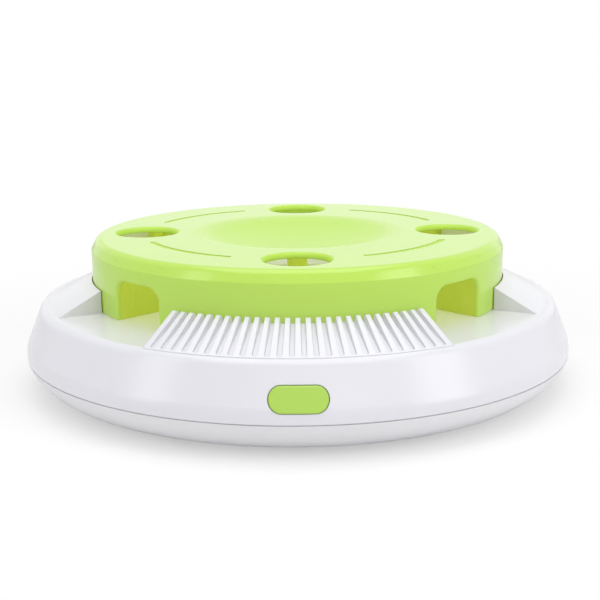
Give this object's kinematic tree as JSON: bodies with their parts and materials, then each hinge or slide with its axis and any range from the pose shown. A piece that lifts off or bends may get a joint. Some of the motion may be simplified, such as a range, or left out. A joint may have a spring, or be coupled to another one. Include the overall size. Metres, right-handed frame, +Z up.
{
  "type": "electronic cat toy",
  "caption": "Round floor toy for cats: a lime cover with paw holes and arches over a motor-driven lure, on a white casing with ramps, a ribbed front ramp and a push button.",
  "frame": {"origin": "middle of the toy on the plane that the four rubber feet stand on", "axes": "+Z up, -Y towards the front with the power button and the ribbed ramp"},
  "size_m": [0.29, 0.2903, 0.0781],
  "materials": {
    "grey_white_shell": "satin",
    "white_shell": "satin",
    "lime_cover": "gloss",
    "dark_rubber": "matte",
    "zinc_steel": "zinc plated",
    "bright_steel": "polished",
    "black_plastic": "moulded",
    "gear_plastic": "natural acetal",
    "brass_bush": "turned",
    "motor_can": "drawn",
    "lure_rubber": "matte foam rubber",
    "green_board": "solder mask",
    "capacitor_can": "drawn",
    "cell_jacket": "printed sleeve, plain"
  },
  "bodies": {
    "casing": {"lower_casing": "grey_white_shell", "upper_casing": "white_shell", "comb_ramp": "white_shell", "top_cover": "lime_cover", "rubber_feet": "dark_rubber", "casing_screws": "zinc_steel", "cover_screws": "zinc_steel", "gearbox_frame": "black_plastic", "gearbox_lid": "black_plastic", "gearbox_screws": "zinc_steel", "gear_pins": "bright_steel", "output_bush": "brass_bush", "motor": "motor_can", "circuit_board": "green_board", "control_chip": "black_plastic", "capacitor": "capacitor_can", "power_switch": "black_plastic", "board_screws": "zinc_steel", "battery_cells": "cell_jacket", "battery_contacts": "bright_steel", "battery_springs": "bright_steel"},
    "button": {"power_button": "lime_cover", "switch_plunger": "black_plastic"},
    "door": {"battery_door": "grey_white_shell"},
    "rotor": {"turntable": "white_shell", "lure_ball": "lure_rubber", "output_shaft": "bright_steel", "output_gear": "gear_plastic"},
    "second_wheel": {"second_gear": "gear_plastic"},
    "first_wheel": {"first_gear": "gear_plastic"},
    "motor_rotor": {"motor_pinion": "brass_bush", "motor_shaft": "bright_steel"}
  },
  "joints": [
    {"name": "rotor_spin", "type": "hinge", "parent": "casing", "child": "rotor", "pos_m": [0, 0, 0.046], "axis": [0, 0, 1], "continuous": true},
    {"name": "second_wheel_spin", "type": "hinge", "parent": "casing", "child": "second_wheel", "pos_m": [-0.01732, -0.01732, 0.03], "axis": [0, 0, 1], "continuous": true},
    {"name": "first_wheel_spin", "type": "hinge", "parent": "casing", "child": "first_wheel", "pos_m": [-0.02331, -0.03377, 0.026], "axis": [0, 0, 1], "continuous": true},
    {"name": "motor_spin", "type": "hinge", "parent": "casing", "child": "motor_rotor", "pos_m": [-0.00815, -0.04252, 0.024], "axis": [0, 0, 1], "continuous": true},
    {"name": "button_press", "type": "slide", "parent": "casing", "child": "button", "axis": [0, 1, 0], "range_m": [0, 0.001], "stiffness_N_per_m": 400},
    {"name": "door_slide", "type": "slide", "parent": "casing", "child": "door", "axis": [0, 1, 0], "range_m": [0, 0.05]}
  ],
  "couplings": [
    {"joint": "second_wheel_spin", "follows": "rotor_spin", "ratio": -6},
    {"joint": "first_wheel_spin", "follows": "rotor_spin", "ratio": 24},
    {"joint": "motor_spin", "follows": "rotor_spin", "ratio": -96}
  ]
}
